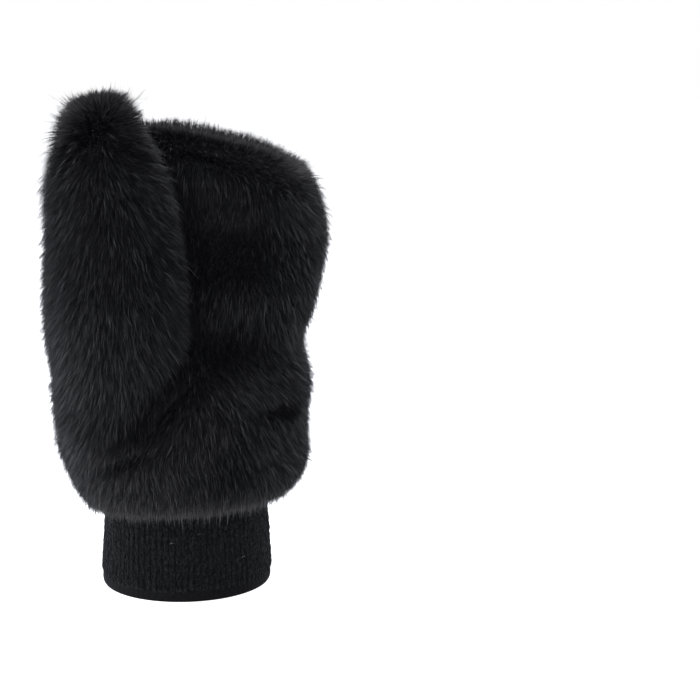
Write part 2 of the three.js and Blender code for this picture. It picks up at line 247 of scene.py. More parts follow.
# Lights, in metres: name, place, size, power
LIGHTS = [
    ("left_box", (-0.85, 0.0, 0.30), (0.8, 1.0), 9.5),
    ("right_box", (0.75, 0.42, 0.30), (0.8, 1.0), 3.5),
    ("top_box", (0.0, 0.12, 1.0), (1.2, 0.8), 9),
    ("front_box", (-0.2, -0.9, 0.60), (1.2, 0.9), 7),
    ("back_box", (0.0, 0.9, 0.5), (1.6, 1.0), 4),
]
LIGHT_AIM = (0.0, 0.0, 0.09)
LIGHT_COLOUR = (0.95, 0.97, 1.06)
SKY_COLOUR = (0.93, 0.95, 1.08, 1.0)
SKY_STRENGTH = 0.27
FLOOR_HALF = 4.0


def smoothstep(value, low, high):
    t = np.clip((value - low) / (high - low), 0.0, 1.0)
    return t * t * (3 - 2 * t)


def unit(vectors):
    return vectors / np.maximum(np.linalg.norm(vectors, axis=-1, keepdims=True), 1e-9)


def smooth_curve(a, b, slope_a, slope_b, t):
    """From a to b with the slopes given at both, at shares t of the way."""
    return (a * (1 + 2 * t) * (1 - t) ** 2 + slope_a * t * (1 - t) ** 2
            + b * t * t * (3 - 2 * t) + slope_b * t * t * (t - 1))


def section_at(table, z):
    """Every column of a table of sections at heights z, on a smooth curve through the rows."""
    last = len(table) - 1
    i = np.searchsorted(table[1:-1, 0], z, side="left")
    a, b = table[i], table[i + 1]
    before = table[np.maximum(i - 1, 0)]
    after = table[np.minimum(i + 2, last)]
    span = b[:, :1] - a[:, :1]
    t = np.clip((z[:, None] - a[:, :1]) / span, -0.5, 1.5)
    slope_a = (b - before) / (b[:, :1] - before[:, :1]) * span
    slope_b = (after - a) / (after[:, :1] - a[:, :1]) * span
    return smooth_curve(a, b, slope_a, slope_b, t)


def outline_points(table, angle, z, grow):
    """Points of the sections' outlines. The angle starts at +X and turns over the back."""
    _, left, right, front, back, square = section_at(table, z).T
    c, s = np.cos(angle), np.sin(angle)
    half_x = (right - left) / 2 + grow
    half_y = (back - front) / 2 + grow
    x = (left + right) / 2 + half_x * np.sign(c) * np.abs(c) ** (2 / square)
    y = (front + back) / 2 + half_y * np.sign(s) * np.abs(s) ** (2 / square)
    return np.stack([x, y, z], axis=-1)


def fold_depth(x, z):
    depth = np.zeros_like(x)
    for fold_x, fold_z, along_size, across_size, turn, fold in PALM_FOLDS:
        c, s = math.cos(math.radians(turn)), math.sin(math.radians(turn))
        along = ((x - fold_x) * c + (z - fold_z) * s) / along_size
        across = ((z - fold_z) * c - (x - fold_x) * s) / across_size
        depth += fold * np.exp(-along * along - across * across)
    return depth


def slope_ends(points):
    """The finger opening slopes down to the little finger, and the hem is a little askew."""
    x, y, z = points.T
    tilt = RIM_LIFT * (1 - smoothstep(x, *RIM_LIFT_X)) - RIM_DROP * smoothstep(x, *RIM_DROP_X)
    up = smoothstep(z, *RIM_SLOPE_Z)
    down = 1 - smoothstep(z, *HEM_SLOPE_Z)
    askew = (0.8 * x - y) / (0.5 * CUFF_WIDTH + 10)
    points[:, 2] += HEM_LIFT * askew * down + tilt * up
    return points


def hand_cloth(angle, z, grow):
    return slope_ends(outline_points(HAND_CLOTH, angle, z, grow))


def hand_fur(angle, z, grow):
    points = outline_points(HAND_OUTLINE, angle, z, grow)
    palm_side = smoothstep(-np.sin(angle), 0.1, 0.6)
    points[:, 1] += palm_side * fold_depth(points[:, 0], z)
    return slope_ends(points)


def slope_thumb(points):
    """The thumb's mouth is lower at both of its sides."""
    x, _, z = points.T
    aside = np.abs(x - THUMB_MOUTH_X) / THUMB_MOUTH_HALF
    drop = THUMB_DROP_MIDDLE + THUMB_DROP * aside ** 1.5
    points[:, 2] -= drop * smoothstep(z, *THUMB_DROP_Z)
    return points


def thumb_cloth(angle, z, grow):
    return slope_thumb(outline_points(THUMB_CLOTH, angle, z, grow))


def thumb_fur(angle, z, grow):
    return slope_thumb(outline_points(THUMB_OUTLINE, angle, z, grow))


def inside(table, points, grow, folds):
    """Whether points lie within the sections of a table, grown a little."""
    z = points[:, 2]
    _, left, right, front, back, square = section_at(table, z).T
    y = points[:, 1] - (fold_depth(points[:, 0], z) if folds else 0)
    across = np.abs(points[:, 0] - (left + right) / 2) / np.maximum((right - left) / 2 + grow, 0.1)
    deep = np.abs(y - (front + back) / 2) / np.maximum((back - front) / 2 + grow, 0.1)
    in_height = (z > table[0, 0]) & (z < table[-1, 0])
    return in_height & (across ** square + deep ** square < 1)


class Hide:
    """The surface that hairs stand on, as a function of the angle and a row number."""

    def __init__(self, rows, fur, cloth):
        self.rows = rows
        self.fur = fur
        self.cloth = cloth

    def row_at(self, s):
        last = len(self.rows) - 1
        i = np.clip(s.astype(int), 0, last - 1)
        t = (s - i)[:, None]
        a, b = self.rows[i], self.rows[i + 1]
        before = self.rows[np.maximum(i - 1, 0)]
        after = self.rows[np.minimum(i + 2, last)]
        return smooth_curve(a, b, (b - before) / 2, (after - a) / 2, t)

    def points(self, angle, s):
        z, share, depth, _, _ = self.row_at(s).T
        outer = self.fur(angle, z, -depth)
        inner = self.cloth(angle, z, -CLOTH)
        return inner + (outer - inner) * share[:, None]

    def axes(self, angle, s):
        """Directions down the hide, round it and out of it."""
        step = 0.02
        down = unit(self.points(angle, s + step) - self.points(angle, s - step))
        around = unit(self.points(angle + step, s) - self.points(angle - step, s))
        out = unit(np.cross(around, -down))
        return down, around, out

    def sample(self, rng, count):
        """Angles and rows spread evenly over the area of the hide."""
        columns, fine_rows = 120, 8 * (len(self.rows) - 1)
        angle = np.linspace(0, 2 * np.pi, columns + 1)
        s = np.linspace(0, len(self.rows) - 1, fine_rows + 1)
        grid_angle, grid_s = np.meshgrid(angle, s)
        grid = self.points(grid_angle.ravel(), grid_s.ravel()).reshape(fine_rows + 1, -1, 3)
        side_a = grid[:-1, 1:] - grid[:-1, :-1]
        side_b = grid[1:, :-1] - grid[:-1, :-1]
        area = np.linalg.norm(np.cross(side_a, side_b), axis=-1).ravel()
        area = area.reshape(fine_rows, columns)
        start = rng.random(2)
        number = np.arange(1, count + 1)
        even_s = (start[0] + EVEN_STEPS[0] * number) % 1
        even_angle = (start[1] + EVEN_STEPS[1] * number) % 1
        filled = np.concatenate([[0], np.cumsum(area.sum(axis=1))])
        place = np.interp(even_s, filled / filled[-1], np.arange(fine_rows + 1))
        row = np.minimum(place.astype(int), fine_rows - 1)
        steps = np.cumsum(area, axis=1) / area.sum(axis=1, keepdims=True)
        steps = (steps + np.arange(fine_rows)[:, None]).ravel()
        target = row + np.clip(even_angle, 1e-6, 1 - 1e-6)
        cell = np.searchsorted(steps, target)
        before = np.where(cell % columns == 0, row, steps[cell - 1])
        share = (target - before) / (steps[cell] - before)
        return (cell % columns + share) * angle[1], place * s[1]


def sway(points):
    """Slow swirls in the direction of the fur."""
    x, y, z = points.T
    return (0.16 * np.sin(0.13 * x + 0.09 * z + 1.0) * np.cos(0.11 * y + 0.5)
            + 0.10 * np.sin(0.31 * z - 0.17 * x + 0.21 * y))


def locks(points):
    """From -1 to 1: locks a few millimetres wide whose hairs are longer than those between."""
    x, y, z = points.T
    drift = 1.5 * np.sin(0.45 * x + 0.31 * z) + 1.5 * np.sin(0.53 * z - 0.37 * y)
    return np.sin(1.5 * x + 1.1 * y + drift) * np.sin(1.2 * z - 0.9 * x + 0.8 * y + 1.3 * drift)


def hair_curves(hide, angle, s, layer, style, rng_values):
    """Centre lines of hairs, as an array of hairs x stations x 3, and their outward axes."""
    length, lean, bend = rng_values
    down, around, out = hide.axes(angle, s)
    roots = hide.points(angle, s)
    _, _, _, turn, reach = hide.row_at(s).T
    away = style["away"] * np.sin(angle + np.pi / 2)
    along = down + around * (away + sway(roots) + lean)[:, None]
    upright = np.array([0.0, 0.0, 1.0]) * np.sign(turn)[:, None]
    weight = np.abs(turn)[:, None]
    along = unit(along * (1 - weight) + upright * weight)
    t = np.linspace(0, 1, layer["segments"] + 1)[None, :, None]
    rise = layer["out"] * reach * length
    run = layer["along"] * reach * length
    curves = (roots[:, None, :]
              + out[:, None, :] * rise[:, None, None] * (1 - (1 - t) ** 1.6)
              + along[:, None, :] * run[:, None, None] * t ** 1.5
              + around[:, None, :] * bend[:, None, None] * t ** 2)
    return curves, out


def grow_hairs(hide, layer, tuft_count, style, seed):
    """Hairs in tufts: every hair leans to its tuft's centre line towards its tip."""
    rng = np.random.default_rng(seed)
    tuft_angle, tuft_s = hide.sample(rng, tuft_count)
    places = hide.points(tuft_angle, tuft_s)
    keep = style["keep"](places)
    if layer["glint_share"] > 0:
        keep &= rng.random(tuft_count) > style["thin"](tuft_angle, places)
    tuft_angle, tuft_s = tuft_angle[keep], tuft_s[keep]
    tufts = len(tuft_angle)
    tuft_length = 1 + layer["vary"] * np.clip(rng.standard_normal(tufts), -2, 2)
    turned_up = np.maximum(hide.row_at(tuft_s)[:, 3], 0)
    lock_height = LOCK_HEIGHT + LOCK_HEIGHT_UP * turned_up
    tuft_length = tuft_length * (1 + lock_height * locks(places[keep]))
    tuft_lean = TUFT_LEAN * rng.standard_normal(tufts)
    tuft_bend = TUFT_BEND * rng.standard_normal(tufts)
    centre, _ = hair_curves(hide, tuft_angle, tuft_s, layer, style,
                            (tuft_length, tuft_lean, tuft_bend))
    number = np.repeat(np.arange(tufts), layer["per_tuft"])
    count = len(number)
    here = hide.points(tuft_angle, tuft_s)
    step = 0.05
    per_angle = np.linalg.norm(hide.points(tuft_angle + step, tuft_s) - here, axis=1) / step
    per_row = np.linalg.norm(hide.points(tuft_angle, tuft_s + step) - here, axis=1) / step
    offset = layer["spread"] * rng.standard_normal((count, 2))
    angle = tuft_angle[number] + offset[:, 0] / np.maximum(per_angle[number], 3)
    s = tuft_s[number] + offset[:, 1] / np.maximum(per_row[number], 1)
    s = np.clip(s, 0.05, len(hide.rows) - 1.05)
    spread_length = 1 + layer["vary"] * rng.standard_normal(count)
    length = tuft_length[number] * np.clip(spread_length, 0.5, 1.5)
    lean = tuft_lean[number] + HAIR_LEAN * rng.standard_normal(count)
    bend = tuft_bend[number] + HAIR_BEND * rng.standard_normal(count)
    curves, out = hair_curves(hide, angle, s, layer, style, (length, lean, bend))
    t = np.linspace(0, 1, layer["segments"] + 1)[None, :, None]
    _, _, _, turn, _ = hide.row_at(s).T
    gather = layer["pinch"] + GATHER_UP * np.maximum(turn, 0) + GATHER_DOWN * np.maximum(-turn, 0)
    pull = gather[:, None, None] * t ** 1.4
    curves = curves + (centre[number] - curves) * pull
    # Painted light: hairs that turn up at the openings and hairs that hang at the hem get a
    # lighter colour, and the style adds painted light on the palm's folds and painted shade on the
    # thumb beside the palm
    painted_light_and_shade = np.where(turn > 0, PAINTED_LIGHT_UP * np.abs(turn) ** 1.2, PAINTED_LIGHT_DOWN * np.abs(turn))
    painted_light_and_shade = painted_light_and_shade + style["painted_light_and_shade"](angle, curves[:, 0])
    return curves, out, painted_light_and_shade, rng


def ribbons(curves, out, painted_light_and_shade, layer, rng):
    """Flat tapering ribbons on centre lines: points, quads, tris, shades and bake cells."""
    count, stations, _ = curves.shape
    tangent = unit(curves[:, -1] - curves[:, 0])
    side = unit(np.cross(tangent, out))
    other = np.cross(tangent, side)
    roll = layer["roll"] * rng.uniform(-1, 1, count)[:, None]
    side = side * np.cos(roll) + other * np.sin(roll)
    t = np.linspace(0, 1, stations)
    width = layer["width"] * rng.uniform(0.75, 1.25, count)
    # Painted highlight: a share of the hairs is coloured lighter and made wider to stand for
    # glints
    glint = rng.random(count) < layer["glint_share"]
    width = width * (1 + GLINT_WIDER * glint)
    half = 0.5 * width[:, None] * (1 - t[:-1] ** 1.8)[None, :] + TIP_HALF
    shift = side[:, None, :] * half[:, :, None]
    body = np.stack([curves[:, :-1] - shift, curves[:, :-1] + shift], axis=2)
    per_hair = 2 * (stations - 1) + 1
    points = np.concatenate([body.reshape(count, -1, 3), curves[:, -1:]], axis=1)
    first = (np.arange(count) * per_hair)[:, None]
    quads = np.zeros((0, 4), dtype=int)
    for k in range(stations - 2):
        quads = np.concatenate([quads, first + np.array([2 * k, 2 * k + 1, 2 * k + 3, 2 * k + 2])])
    tip = per_hair - 1
    tris = first + np.array([tip - 2, tip - 1, tip])
    # Random tone per hair, plus the painted highlight of the glinting share and the painted light
    # and shade carried in from the hide
    tone = layer["tone"] * (0.5 + rng.random(count) ** 2) + GLINT_TONE * glint + painted_light_and_shade
    ramp = np.append(np.repeat(t[:-1], 2), 1.0)
    shade = np.clip(tone[:, None] * (0.35 + 0.65 * ramp[None, :]), 0, 1)
    cells = int(math.ceil(math.sqrt(count)))
    column, row = np.arange(count) % cells, np.arange(count) // cells
    across = np.append(np.tile([0.2, 0.8], stations - 1), 0.5)
    u = (column[:, None] + across[None, :]) / cells
    v = (row[:, None] + 0.15 + 0.7 * ramp[None, :]) / cells
    return points.reshape(-1, 3), quads, tris, shade.ravel(), np.stack([u, v], -1).reshape(-1, 2)


def make_piece(name, points, quads, tris, material, shade=None, cell_uv=None):
    """A mesh object on the root body from arrays in millimetres."""
    quads = np.asarray(quads, dtype=np.int32).reshape(-1, 4)
    tris = np.asarray(tris, dtype=np.int32).reshape(-1, 3)
    loops = np.concatenate([quads.ravel(), tris.ravel()])
    sizes = np.concatenate([np.full(len(quads), 4), np.full(len(tris), 3)])
    starts = np.concatenate([[0], np.cumsum(sizes)[:-1]])
    mesh = bpy.data.meshes.new(name)
    mesh.vertices.add(len(points))
    mesh.vertices.foreach_set("co", (points * MM).astype(np.float32).ravel())
    mesh.loops.add(len(loops))
    mesh.loops.foreach_set("vertex_index", loops)
    mesh.polygons.add(len(sizes))
    mesh.polygons.foreach_set("loop_start", starts.astype(np.int32))
    mesh.polygons.foreach_set("use_smooth", np.ones(len(sizes), dtype=bool))
    mesh.update(calc_edges=True)
    if shade is not None:
        layer = mesh.attributes.new("shade", "FLOAT", "POINT")
        layer.data.foreach_set("value", shade.astype(np.float32))
    if cell_uv is not None:
        uv = mesh.uv_layers.new(name="OFBake")
        uv.data.foreach_set("uv", cell_uv[loops].astype(np.float32).ravel())
    piece = bpy.data.objects.new(name, mesh)
    bpy.context.collection.objects.link(piece)
    mesh.materials.append(material)
    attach(piece, "root")
    return piece


def grid_faces(rows, columns, closed):
    """Quads of a grid of rows x columns points whose columns run round a tube."""
    r, c = np.meshgrid(np.arange(rows - 1), np.arange(columns if closed else columns - 1),
                       indexing="ij")
    right = (c + 1) % columns
    corners = [r * columns + c, r * columns + right, (r + 1) * columns + right,
               (r + 1) * columns + c]
    return np.stack(corners, axis=-1).reshape(-1, 4)


# Materials

def node_material(name, roughness, specular):
    material = bpy.data.materials.new(name)
    material.use_nodes = True
    shader = material.node_tree.nodes["Principled BSDF"]
    shader.inputs["Roughness"].default_value = roughness
    shader.inputs["Specular IOR Level"].default_value = specular
    return material, material.node_tree.nodes, material.node_tree.links, shader


def ramp_node(nodes, stops):
    ramp = nodes.new("ShaderNodeValToRGB")
    elements = ramp.color_ramp.elements
    while len(elements) < len(stops):
        elements.new(0.5)
    for element, (place, colour) in zip(elements, stops):
        element.position = place
        element.color = (*colour, 1.0)
    return ramp


def noise_node(nodes, links, scale, detail):
    place = nodes.new("ShaderNodeTexCoord")
    noise = nodes.new("ShaderNodeTexNoise")
    noise.inputs["Scale"].default_value = scale
    noise.inputs["Detail"].default_value = detail
    links.new(place.outputs["Object"], noise.inputs["Vector"])
    return noise


def colour_by(source, stops, nodes, links, shader):
    """Give the shader its colours from a ramp over a value."""
    ramp = ramp_node(nodes, stops)
    links.new(source, ramp.inputs["Fac"])
    links.new(ramp.outputs["Color"], shader.inputs["Base Color"])


def bump_by(source, strength, distance, nodes, links, shader):
    bump = nodes.new("ShaderNodeBump")
    bump.inputs["Strength"].default_value = strength
    bump.inputs["Distance"].default_value = distance
    links.new(source, bump.inputs["Height"])
    links.new(bump.outputs["Normal"], shader.inputs["Normal"])


def hair_material(name, gloss, smooth, rough_end):
    """Black hair, lighter towards the tips. Its gloss and shade vary from patch to patch."""
    material, nodes, links, shader = node_material(name, smooth, gloss)
    shade = nodes.new("ShaderNodeAttribute")
    shade.attribute_name = "shade"
    patches = noise_node(nodes, links, 90, 3)
    mixed = nodes.new("ShaderNodeMath")
    mixed.operation = "MULTIPLY_ADD"
    mixed.inputs[1].default_value = 0.25
    links.new(patches.outputs["Fac"], mixed.inputs[0])
    links.new(shade.outputs["Fac"], mixed.inputs[2])
    stops = [
        (0.10, (0.0070, 0.0072, 0.0083)),
        (0.50, (0.0076, 0.0078, 0.0089)),
        (0.75, (0.0140, 0.0136, 0.0142)),
        (1.00, (0.0900, 0.0840, 0.0830)),
    ]
    colour_by(mixed.outputs[0], stops, nodes, links, shader)
    rough = nodes.new("ShaderNodeMapRange")
    rough.inputs["To Min"].default_value = smooth
    rough.inputs["To Max"].default_value = rough_end
    links.new(patches.outputs["Fac"], rough.inputs["Value"])
    links.new(rough.outputs["Result"], shader.inputs["Roughness"])
    return material


def hide_material():
    material, nodes, links, shader = node_material("fur_hide", 0.85, 0.2)
    noise = noise_node(nodes, links, 1400, 4)
    stops = [(0.3, (0.0180, 0.0184, 0.0200)), (0.8, (0.0360, 0.0365, 0.0390))]
    colour_by(noise.outputs["Fac"], stops, nodes, links, shader)
    bump_by(noise.outputs["Fac"], 0.8, 0.0006, nodes, links, shader)
    return material


def yarn_material():
    """Black wool, mottled, with a faint teal sheen."""
    material, nodes, links, shader = node_material("rib_knit_yarn", 0.8, 0.15)
    shader.inputs["Sheen Weight"].default_value = 0.072
    shader.inputs["Sheen Roughness"].default_value = 0.5
    shader.inputs["Sheen Tint"].default_value = (0.60, 0.84, 0.80, 1.0)
    fibres = noise_node(nodes, links, 2600, 5)
    clumps = noise_node(nodes, links, 620, 3)
    mixed = nodes.new("ShaderNodeMath")
    mixed.operation = "MULTIPLY_ADD"
    mixed.inputs[1].default_value = 0.55
    links.new(fibres.outputs["Fac"], mixed.inputs[0])
    half = nodes.new("ShaderNodeMath")
    half.operation = "MULTIPLY"
    half.inputs[1].default_value = 0.45
    links.new(clumps.outputs["Fac"], half.inputs[0])
    links.new(half.outputs[0], mixed.inputs[2])
    stops = [
        (0.38, (0.0006, 0.0006, 0.0008)),
        (0.50, (0.0034, 0.0032, 0.0037)),
        (0.62, (0.0180, 0.0172, 0.0184)),
    ]
    colour_by(mixed.outputs[0], stops, nodes, links, shader)
    bump_by(fibres.outputs["Fac"], 0.7, 0.0003, nodes, links, shader)
    return material


# Painted shade: the plain folded edge is coloured darker than the rib yarn, for the shade where it
# turns under at the hem
def shaded_edge_material():
    material, nodes, links, shader = node_material("plain_knit_edge_painted_shade", 0.75, 0.12)
    noise = noise_node(nodes, links, 1500, 3)
    stops = [(0.3, (0.0012, 0.0012, 0.0016)), (0.7, (0.0060, 0.0058, 0.0070))]
    colour_by(noise.outputs["Fac"], stops, nodes, links, shader)
    return material


def lining_material():
    material, nodes, links, shader = node_material("knitted_backing", 0.9, 0.2)
    place = nodes.new("ShaderNodeTexCoord")
    rows = nodes.new("ShaderNodeTexWave")
    rows.bands_direction = "Z"
    rows.inputs["Scale"].default_value = 260
    rows.inputs["Distortion"].default_value = 1.5
    links.new(place.outputs["Object"], rows.inputs["Vector"])
    fibres = noise_node(nodes, links, 1600, 4)
    mixed = nodes.new("ShaderNodeMath")
    mixed.operation = "MULTIPLY"
    links.new(rows.outputs["Fac"], mixed.inputs[0])
    links.new(fibres.outputs["Fac"], mixed.inputs[1])
    stops = [(0.1, (0.004, 0.0038, 0.0036)), (0.7, (0.016, 0.015, 0.0145))]
    colour_by(mixed.outputs[0], stops, nodes, links, shader)
    bump_by(mixed.outputs[0], 0.8, 0.0004, nodes, links, shader)
    return material


def lint_material():
    material, nodes, links, shader = node_material("pale_lint", 0.8, 0.3)
    noise = noise_node(nodes, links, 900, 2)
    stops = [(0.3, (0.10, 0.11, 0.11)), (0.7, (0.22, 0.23, 0.23))]
    colour_by(noise.outputs["Fac"], stops, nodes, links, shader)
    return material


def floor_material():
    material, nodes, links, shader = node_material("white_floor", 0.9, 0.1)
    noise = noise_node(nodes, links, 3, 2)
    stops = [(0.0, (0.90, 0.90, 0.90)), (1.0, (0.93, 0.93, 0.93))]
    colour_by(noise.outputs["Fac"], stops, nodes, links, shader)
    shader.inputs["Emission Color"].default_value = (1.0, 1.0, 1.0, 1.0)
    seen = nodes.new("ShaderNodeLightPath")
    glow = nodes.new("ShaderNodeMapRange")
    glow.inputs["To Min"].default_value = 0.12
    glow.inputs["To Max"].default_value = 0.9
    links.new(seen.outputs["Is Camera Ray"], glow.inputs["Value"])
    links.new(glow.outputs["Result"], shader.inputs["Emission Strength"])
    return material


# Fur

def hide_mesh(name, hide, columns, rows, drop, material):
    angle = np.linspace(0, 2 * np.pi, columns, endpoint=False)
    s = np.linspace(0, len(hide.rows) - 1, rows)
    grid_s, grid_angle = np.meshgrid(s, angle, indexing="ij")
    points = hide.points(grid_angle.ravel(), grid_s.ravel())
    quads = grid_faces(rows, columns, True)
    hidden = drop(points)[quads].all(axis=1)
    return make_piece(name, points, quads[~hidden], [], material)


def thin_in_dents(angle, points):
    """Share of the glossy hairs that the palm's dents lack."""
    dent = fold_depth(points[:, 0], points[:, 2]) * (np.sin(angle) < 0)
    return 0.86 * smoothstep(dent, 1.5, 5.0)


def painted_light_on_folds(angle, points):
    """Painted light: the hairs are coloured lighter where the palm bulges out and in its dents."""
    depth = fold_depth(points[:, 0], points[:, 2]) * (np.sin(angle) < 0)
    return np.where(depth < 0, np.minimum(-0.13 * depth, 0.22), 0.045 * depth)


def thin_beside_palm(angle, points):
    """Share of the glossy hairs that the thumb lacks where it faces the palm."""
    return 0.7 * smoothstep(np.cos(angle), 0.2, 0.8)


def painted_shade_beside_palm(angle, points):
    """Painted shade: the thumb's hairs are coloured darker where it faces the palm."""
    return -0.12 * smoothstep(np.cos(angle), -0.2, 0.8)


def outside_thumb(points):
    return ~inside(THUMB_OUTLINE, points, -3.0, False)


def outside_hand(points):
    return ~inside(HAND_OUTLINE, points, -7.0, True)


def deep_in_thumb(points):
    return inside(THUMB_OUTLINE, points, -7.0, False)


def deep_in_hand(points):
    return inside(HAND_OUTLINE, points, -9.0, True)


def hair_pieces(prefix, hide, layer, style, material, seed):
    """One layer of hairs as meshes of a limited size, each of them a sector of the hide."""
    curves, out, painted_light_and_shade, rng = grow_hairs(hide, layer, TUFTS[prefix], style, seed)
    parts = int(math.ceil(len(curves) / MAX_HAIRS_PER_PIECE[layer["segments"]]))
    pieces = []
    order = np.argsort(np.arctan2(curves[:, 0, 1], curves[:, 0, 0]))
    for number, chosen in enumerate(np.array_split(order, parts)):
        points, quads, tris, shade, cells = ribbons(
            curves[chosen], out[chosen], painted_light_and_shade[chosen], layer, rng)
        name = f"{prefix}_{number + 1}"
        pieces.append(make_piece(name, points, quads, tris, material, shade, cells))
    return pieces


def build_fur():
    soft = hair_material("black_undercoat", 0.15, 0.60, 0.80)
    hair = hair_material("black_guard_hair", 0.42, 0.32, 0.48)
    hide_look = hide_material()
    hand = Hide(HAND_HIDE, hand_fur, hand_cloth)
    thumb = Hide(THUMB_HIDE, thumb_fur, thumb_cloth)
    hand_style = dict(away=0.22, keep=outside_thumb, thin=thin_in_dents, painted_light_and_shade=painted_light_on_folds)
    thumb_style = dict(away=0.30, keep=outside_hand, thin=thin_beside_palm, painted_light_and_shade=painted_shade_beside_palm)
    pieces = [hide_mesh("hand_hide", hand, 120, 90, deep_in_thumb, hide_look)]
    pieces += hair_pieces("hand_undercoat", hand, UNDERCOAT, hand_style, soft, SEED)
    pieces += hair_pieces("hand_guard_hair", hand, GUARD, hand_style, hair, SEED + 1)
    pieces += hair_pieces("hand_stray_hair", hand, STRAY, hand_style, hair, SEED + 4)
    for piece in pieces:
        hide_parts("hand_fur")
    pieces = [hide_mesh("thumb_hide", thumb, 90, 80, deep_in_hand, hide_look)]
    pieces += hair_pieces("thumb_undercoat", thumb, UNDERCOAT, thumb_style, soft, SEED + 2)
    pieces += hair_pieces("thumb_guard_hair", thumb, GUARD, thumb_style, hair, SEED + 3)
    pieces += hair_pieces("thumb_stray_hair", thumb, STRAY, thumb_style, hair, SEED + 5)
    for piece in pieces:
        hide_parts("thumb_fur")


# Lining

def lining_mesh(name, surface, foot, top, columns, rows, hole, node, material):
    """A cloth tube with both faces and a rolled lip, cut open where the hole says."""
    lip = 0.5 * CLOTH
    heights = np.linspace(foot, top, rows)
    rings = [(z, 0.0) for z in heights]
    for turn in np.linspace(0, np.pi, 6)[1:-1]:
        rings.append((top + lip * math.sin(turn), -lip + lip * math.cos(turn)))
    rings += [(z, -CLOTH) for z in heights[::-1]]
    rings.append(rings[0])
    angle = np.linspace(0, 2 * np.pi, columns, endpoint=False)
    points = []
    for z, grow in rings:
        wrinkle = 0.25 * np.sin(5 * angle + 0.11 * z) * np.sin(0.23 * z + 2 * angle)
        points.append(surface(angle, np.full(columns, z), grow + wrinkle))
    points = np.concatenate(points)
    quads = grid_faces(len(rings), columns, True)
    open_here = hole(points)[quads].all(axis=1)
    piece = make_piece(name, points, quads[~open_here], [], material)
    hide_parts(node)


def thumb_hole(points):
    return inside(THUMB_CLOTH, points, -CLOTH, False)


def inside_sleeve(points):
    return inside(HAND_CLOTH, points, 0.0, False)


def build_lining():
    look = lining_material()
    lining_mesh("hand_lining", hand_cloth, SLEEVE_FOOT, SLEEVE_TOP, 96, 60, thumb_hole,
                "hand_backing", look)
    lining_mesh("thumb_lining", thumb_cloth, THUMB_FOOT, THUMB_TOP, 72, 50, inside_sleeve,
                "thumb_backing", look)


# Cuff

def cuff_surface(angle, z, grow):
    """The cuff's outer face over its ribs. It draws in towards the wrist and waves a little."""
    rise = np.clip((z - HEM_BAND) / (CUFF_HEIGHT - HEM_BAND), 0, 1)
    wave = CUFF_WAVE * np.sin(3 * angle + 0.06 * z) * rise * (1 - rise) * 3
    out = grow - CUFF_TAPER * rise + wave
    x = (CUFF_WIDTH / 2 + out) * np.cos(angle)
    y = (CUFF_DEPTH / 2 + out) * np.sin(angle)
    return np.stack([x, y, z], axis=-1)


def cuff_knit(yarn, edge):
    """The tube under the stitches, with rounded ribs, and its plain folded edge."""
    columns = 6 * RIB_COUNT
    angle = np.linspace(0, 2 * np.pi, columns, endpoint=False)
    rib = 0.5 + 0.5 * np.cos(RIB_COUNT * angle)
    rings = CUFF_EDGE + [(HEM_BAND + 0.5, GROUND_OUT, GROUND_RELIEF)]
    for z in np.linspace(HEM_BAND + 1.2, CUFF_HEIGHT, 24):
        rings.append((z, GROUND_OUT, GROUND_RELIEF))
    for z in np.linspace(CUFF_HEIGHT, CUFF_EDGE[0][0], 16):
        rings.append((z, -CUFF_WALL, INSIDE_RELIEF))
    points = []
    for z, grow, ribbed in rings:
        relief = ribbed * 0.75 * (rib - 1) if ribbed > 0 else ribbed * 0.6 * rib
        points.append(cuff_surface(angle, np.full(columns, z), grow + relief))
    folded = len(CUFF_EDGE)
    parts = [("cuff_edge", points[:folded], edge), ("cuff_knit", points[folded - 1:], yarn)]
    for name, part, material in parts:
        quads = grid_faces(len(part), columns, True)
        piece = make_piece(name, np.concatenate(part), quads, [], material)
        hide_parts("rib_cuff")


def cuff_stitches(material):
    """Knit stitches as pairs of yarn legs that stand in a V, one column of them to a rib."""
    rng = np.random.default_rng(SEED + 5)
    courses = int((CUFF_HEIGHT - 4 - HEM_BAND) / STITCH_HEIGHT)
    rib, course, hand = np.meshgrid(np.arange(RIB_COUNT), np.arange(courses), [-1.0, 1.0],
                                    indexing="ij")
    rib, course, hand = rib.ravel(), course.ravel(), hand.ravel()
    count = len(rib)
    stations, sides = 5, 4
    t = np.linspace(0, 1, stations)[None, :]
    base_z = HEM_BAND + 0.9 + (course + 0.5) * STITCH_HEIGHT + 0.22 * rng.standard_normal(count)
    z = base_z[:, None] + 0.62 * STITCH_HEIGHT * (2 * t - 1)
    lean = 0.20 * rng.standard_normal(count)[:, None]
    x = hand[:, None] * (0.10 + 0.62 * t) + lean
    out = -0.35 + 0.62 * np.sin(np.pi * np.clip(t * 0.86 + 0.06, 0, 1))
    out = out + 0.10 * rng.standard_normal(count)[:, None]
    thick = rng.uniform(0.75, 1.25, count)[:, None]
    width = 0.36 * thick * (0.55 + 0.50 * np.sin(np.pi * t))
    arc = np.linspace(-0.5 * np.pi, 0.5 * np.pi, sides)[None, None, :]
    x = x[:, :, None] + width[:, :, None] * np.sin(arc)
    out = out[:, :, None] + 0.34 * np.cos(arc) - 0.12
    out = np.broadcast_to(out, x.shape)
    z = np.broadcast_to(z[:, :, None], x.shape)
    pitch_angle = 2 * np.pi / RIB_COUNT
    pitch = np.pi * (CUFF_WIDTH + CUFF_DEPTH) / 2 / RIB_COUNT
    angle = rib[:, None, None] * pitch_angle + x / pitch * pitch_angle
    points = cuff_surface(angle.ravel(), z.ravel(), out.ravel() - 0.15)
    quads = grid_faces(stations, sides, False)
    first = np.arange(count)[:, None, None] * stations * sides
    quads = (first + quads[None]).reshape(-1, 4)
    piece = make_piece("cuff_stitches", points, quads, [], material)
    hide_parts("rib_cuff")


